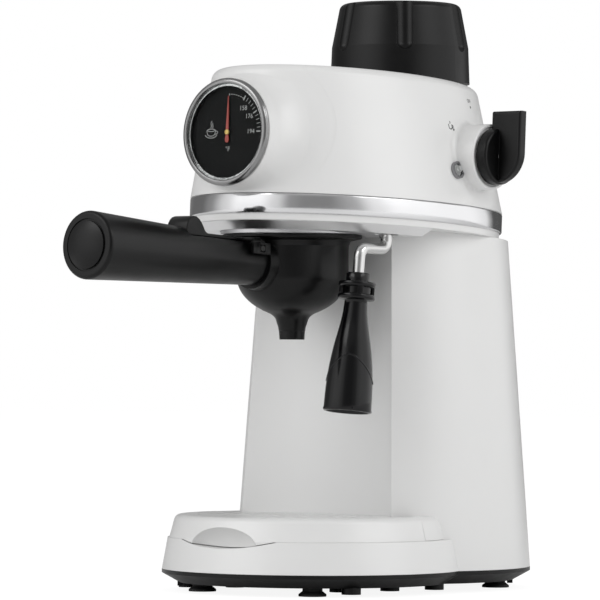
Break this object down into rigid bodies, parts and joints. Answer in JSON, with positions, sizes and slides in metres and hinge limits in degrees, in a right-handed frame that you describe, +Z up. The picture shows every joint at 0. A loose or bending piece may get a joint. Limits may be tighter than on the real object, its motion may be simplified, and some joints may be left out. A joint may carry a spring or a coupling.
{
  "type": "espresso machine",
  "caption": "White steam espresso machine with a tilted oval head, dial thermometer, screw boiler cap, portafilter with long handle, steam wand, side knob and pull-out drip tray.",
  "frame": {"origin": "middle of the bounding box, on the plane the feet stand on", "axes": "+Z up, -Y towards the front where the handle points, +X towards the user's right, the side with the knob and the wand"},
  "size_m": [0.1784, 0.3182, 0.3127],
  "materials": {
    "white_plastic": "smooth satin-gloss moulded plastic",
    "black_plastic": "fine satin moulded plastic",
    "gloss_black": "polished moulded plastic",
    "chrome": "bright plated",
    "steel": "polished",
    "aluminium": "cast, machined on its faces",
    "brass": "turned",
    "rubber": "moulded",
    "dial_black": "matt print",
    "needle_red": "painted",
    "glass": "clear",
    "ceramic_white": "glazed ceramic body"
  },
  "bodies": {
    "housing": {"base_plate": "black_plastic", "rubber_feet": "rubber", "base_screws": "steel", "base_shell": "white_plastic", "body_shell": "white_plastic", "rear_cover": "white_plastic", "rear_screws": "steel", "cord_gland": "black_plastic", "head_floor": "white_plastic", "chrome_band": "chrome", "head_shell": "white_plastic", "underside_dish": "steel", "group_ring": "aluminium", "group_gasket": "rubber", "shower_screen": "steel", "shower_screw": "steel", "gauge_bezel": "chrome", "gauge_case": "steel", "gauge_dial": "dial_black", "gauge_glass": "glass", "gauge_probe": "steel", "boiler_body": "aluminium", "boiler_seal": "rubber", "boiler_cover": "aluminium", "boiler_neck": "aluminium", "valve_nipple": "brass", "boiler_clamp": "steel", "boiler_bracket": "steel", "heating_element": "steel", "thermostat": "aluminium", "thermal_fuse": "ceramic_white", "valve_body": "brass", "lamp_bezel": "chrome", "lamp_lens": "glass", "wand_socket": "brass", "feed_pipe": "steel", "steam_pipe": "steel"},
    "cap_seal": {"cap_gasket": "rubber"},
    "cap_relief": {"relief_valve": "brass"},
    "cap": {"boiler_cap": "black_plastic", "cap_plug": "brass"},
    "knob": {"selector_knob": "black_plastic", "valve_spindle": "steel"},
    "portafilter": {"portafilter_bowl": "black_plastic", "portafilter_collar": "aluminium", "filter_basket": "steel", "spout": "black_plastic", "handle": "black_plastic", "handle_end_cap": "black_plastic", "handle_bolt": "steel", "latch_pin": "steel"},
    "latch": {"basket_latch": "black_plastic"},
    "wand": {"steam_wand": "steel", "wand_screw": "steel"},
    "sleeve": {"froth_sleeve": "gloss_black"},
    "tray": {"drip_tray": "white_plastic"},
    "grille": {"drip_grille": "white_plastic"},
    "needle": {"gauge_needle": "needle_red", "needle_spindle": "brass"}
  },
  "joints": [
    {"name": "cap_lift_off", "type": "slide", "parent": "housing", "child": "cap_seal", "axis": [0, 0, 1], "range_m": [0, 0.05]},
    {"name": "cap_rise", "type": "slide", "parent": "cap_seal", "child": "cap_relief", "axis": [0, 0, 1], "range_m": [0, 0.0065]},
    {"name": "cap_turn", "type": "hinge", "parent": "cap_relief", "child": "cap", "pos_m": [-0.01025, 0.09053, 0.26968], "axis": [0, 0, 1], "range_deg": [0, 720]},
    {"name": "knob_turn", "type": "hinge", "parent": "housing", "child": "knob", "pos_m": [0.06975, 0.06577, 0.2277], "axis": [1, 0, 0], "range_deg": [-57, 57]},
    {"name": "portafilter_turn", "type": "hinge", "parent": "housing", "child": "portafilter", "pos_m": [-0.01025, -0.00117, 0.1865], "axis": [0, 0, 1], "range_deg": [-60, 0]},
    {"name": "latch_flip", "type": "hinge", "parent": "portafilter", "child": "latch", "pos_m": [-0.01205, -0.04073, 0.17818], "axis": [-0.999, 0.0454, 0], "range_deg": [0, 28]},
    {"name": "wand_swivel", "type": "hinge", "parent": "housing", "child": "wand", "pos_m": [0.04175, 0.01183, 0.1907], "axis": [0, 0, 1], "range_deg": [-15, 80]},
    {"name": "sleeve_pull", "type": "slide", "parent": "wand", "child": "sleeve", "axis": [0, -0.1219, -0.9925], "range_m": [0, 0.04]},
    {"name": "tray_pull", "type": "slide", "parent": "housing", "child": "tray", "axis": [0, -1, 0], "range_m": [0, 0.11]},
    {"name": "grille_lift", "type": "slide", "parent": "tray", "child": "grille", "axis": [0, 0, 1], "range_m": [0, 0.02]},
    {"name": "needle_turn", "type": "hinge", "parent": "housing", "child": "needle", "pos_m": [-0.01025, -0.05818, 0.23791], "axis": [0, -0.9987, 0.0501], "range_deg": [-100, 0]}
  ],
  "couplings": [
    {"joint": "cap_rise", "follows": "cap_turn", "m_per_rad": 0.00047746}
  ]
}
